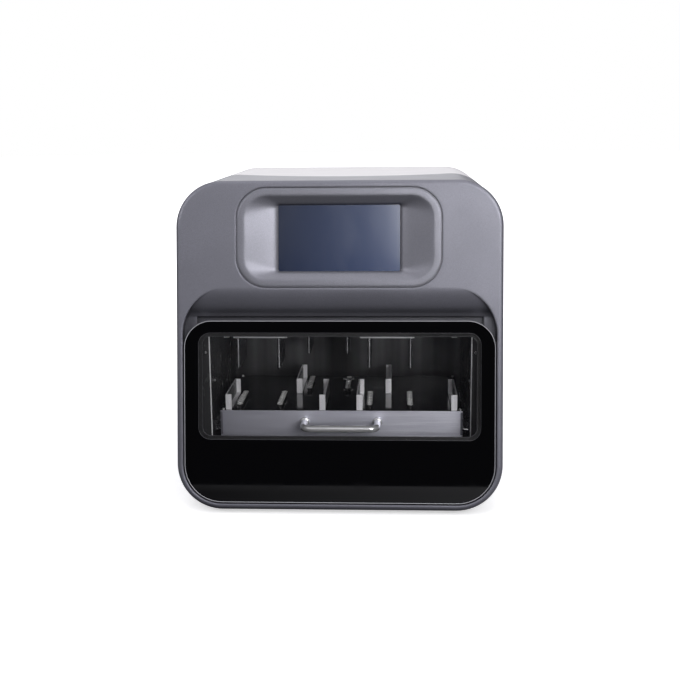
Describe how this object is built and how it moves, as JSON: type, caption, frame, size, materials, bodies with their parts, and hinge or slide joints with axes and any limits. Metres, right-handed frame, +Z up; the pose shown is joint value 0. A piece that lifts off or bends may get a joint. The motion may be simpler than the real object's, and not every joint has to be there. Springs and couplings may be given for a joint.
{
  "type": "nucleic acid extractor",
  "caption": "Bench-top nucleic acid extractor: rounded housing with a leaning touch screen, flip-up windowed door, pull-out plate tray and three-axis magnetic rod head.",
  "frame": {"origin": "on the table, under the middle of the instrument's outline", "axes": "+X to the right seen from the front, +Y to the back, +Z up; the front faces -Y"},
  "size_m": [0.415, 0.449, 0.4184],
  "materials": {
    "grey_shell": "metallic grey lacquer, satin",
    "grey_surround": "metallic grey lacquer, satin",
    "white_shell": "pale grey, fine texture",
    "white_sheet": "pale powder coat",
    "white_plastic": "plain",
    "steel_sheet": "zinc-plated",
    "bright_steel": "ground",
    "screw_steel": "plain",
    "rubber": "matt",
    "seal_rubber": "matt",
    "screen_glass": "polished, backlit",
    "board_green": "solder mask",
    "dark_sheet": "black coat, satin",
    "lamp_glass": "clear tube",
    "motor_black": "satin black",
    "black_plastic": "fine texture",
    "gloss_black": "polished",
    "clear_window": "clear, polished",
    "tray_aluminium": "satin anodised",
    "deck_black": "gloss black",
    "nest_metal": "brushed",
    "cup_metal": "turned",
    "chrome": "polished",
    "cast_aluminium": "milled"
  },
  "bodies": {
    "housing": {"base_plate": "steel_sheet", "rubber_feet": "rubber", "front_bezel": "grey_shell", "hood": "grey_shell", "rear_cover": "white_shell", "rear_panel": "white_sheet", "panel_screws": "screw_steel", "screen_surround": "grey_surround", "touch_glass": "screen_glass", "display_module": "board_green", "frame_left": "steel_sheet", "frame_right": "steel_sheet", "liner_left": "dark_sheet", "liner_right": "dark_sheet", "liner_back": "dark_sheet", "liner_roof": "dark_sheet", "chamber_floor": "dark_sheet", "tray_rails": "bright_steel", "hinge_cover": "grey_shell", "hinge_brackets": "steel_sheet", "hinge_pins": "bright_steel", "uv_lamp": "lamp_glass", "lamp_holders": "white_plastic", "cross_shafts": "bright_steel", "x_motor": "motor_black", "exhaust_fan": "black_plastic", "fan_guard": "bright_steel", "power_inlet": "black_plastic", "switch_body": "black_plastic", "data_ports": "steel_sheet", "control_board": "board_green", "power_supply": "steel_sheet"},
    "door": {"door_panel": "gloss_black", "door_window": "clear_window", "door_frame": "black_plastic", "door_arms": "steel_sheet", "door_seal": "seal_rubber"},
    "plate_tray": {"tray_pan": "tray_aluminium", "deck_plate": "deck_black", "nest_left": "nest_metal", "nest_right": "nest_metal", "nest_middle": "nest_metal", "heating_cups": "cup_metal", "tray_handle": "chrome", "tray_runners": "bright_steel"},
    "rod_head": {"x_carriage": "cast_aluminium", "comb_guides": "bright_steel", "comb_motor": "motor_black"},
    "comb_carrier": {"comb_frame": "cast_aluminium", "magnet_guides": "bright_steel", "magnet_bridge": "cast_aluminium", "magnet_motor": "motor_black"},
    "magnet_carrier": {"magnet_frame": "cast_aluminium", "magnet_rods": "bright_steel"},
    "x_lead_screw": {"x_screw": "bright_steel"},
    "comb_lead_screw": {"comb_screw": "bright_steel"},
    "magnet_lead_screw": {"magnet_screw": "bright_steel"},
    "fan_impeller": {"fan_rotor": "black_plastic"},
    "rocker": {"power_rocker": "black_plastic"}
  },
  "joints": [
    {"name": "door_hinge", "type": "hinge", "parent": "housing", "child": "door", "pos_m": [0, -0.1744, 0.23265], "axis": [-1, 0, 0], "range_deg": [0, 80]},
    {"name": "tray_slide", "type": "slide", "parent": "housing", "child": "plate_tray", "axis": [0, -1, 0], "range_m": [0, 0.16]},
    {"name": "x_slide", "type": "slide", "parent": "housing", "child": "rod_head", "axis": [1, 0, 0], "range_m": [0, 0.045]},
    {"name": "x_screw_turn", "type": "hinge", "parent": "housing", "child": "x_lead_screw", "pos_m": [0, 0.06051, 0.309], "axis": [1, 0, 0], "range_deg": [0, 2025.5]},
    {"name": "comb_lift", "type": "slide", "parent": "rod_head", "child": "comb_carrier", "axis": [0, 0, 1], "range_m": [-0.042, 0]},
    {"name": "comb_screw_turn", "type": "hinge", "parent": "rod_head", "child": "comb_lead_screw", "pos_m": [-0.0225, 0.03151, 0.295], "axis": [0, 0, 1], "range_deg": [-1890.5, 0]},
    {"name": "magnet_lift", "type": "slide", "parent": "comb_carrier", "child": "magnet_carrier", "axis": [0, 0, 1], "range_m": [0, 0.045]},
    {"name": "magnet_screw_turn", "type": "hinge", "parent": "comb_carrier", "child": "magnet_lead_screw", "pos_m": [-0.0225, -0.02549, 0.275], "axis": [0, 0, 1], "range_deg": [0, 2025.5]},
    {"name": "fan_spin", "type": "hinge", "parent": "housing", "child": "fan_impeller", "pos_m": [-0.095, 0.20251, 0.29], "axis": [0, 1, 0], "continuous": true},
    {"name": "power_switch", "type": "hinge", "parent": "housing", "child": "rocker", "pos_m": [0.082, 0.21151, 0.067], "axis": [1, 0, 0], "range_deg": [0, 16]}
  ],
  "couplings": [
    {"joint": "tray_slide", "follows": "door_hinge", "m_per_rad": 0.1145},
    {"joint": "x_screw_turn", "follows": "x_slide", "rad_per_m": 785.4},
    {"joint": "comb_screw_turn", "follows": "comb_lift", "rad_per_m": 785.4},
    {"joint": "magnet_screw_turn", "follows": "magnet_lift", "rad_per_m": 785.4}
  ]
}
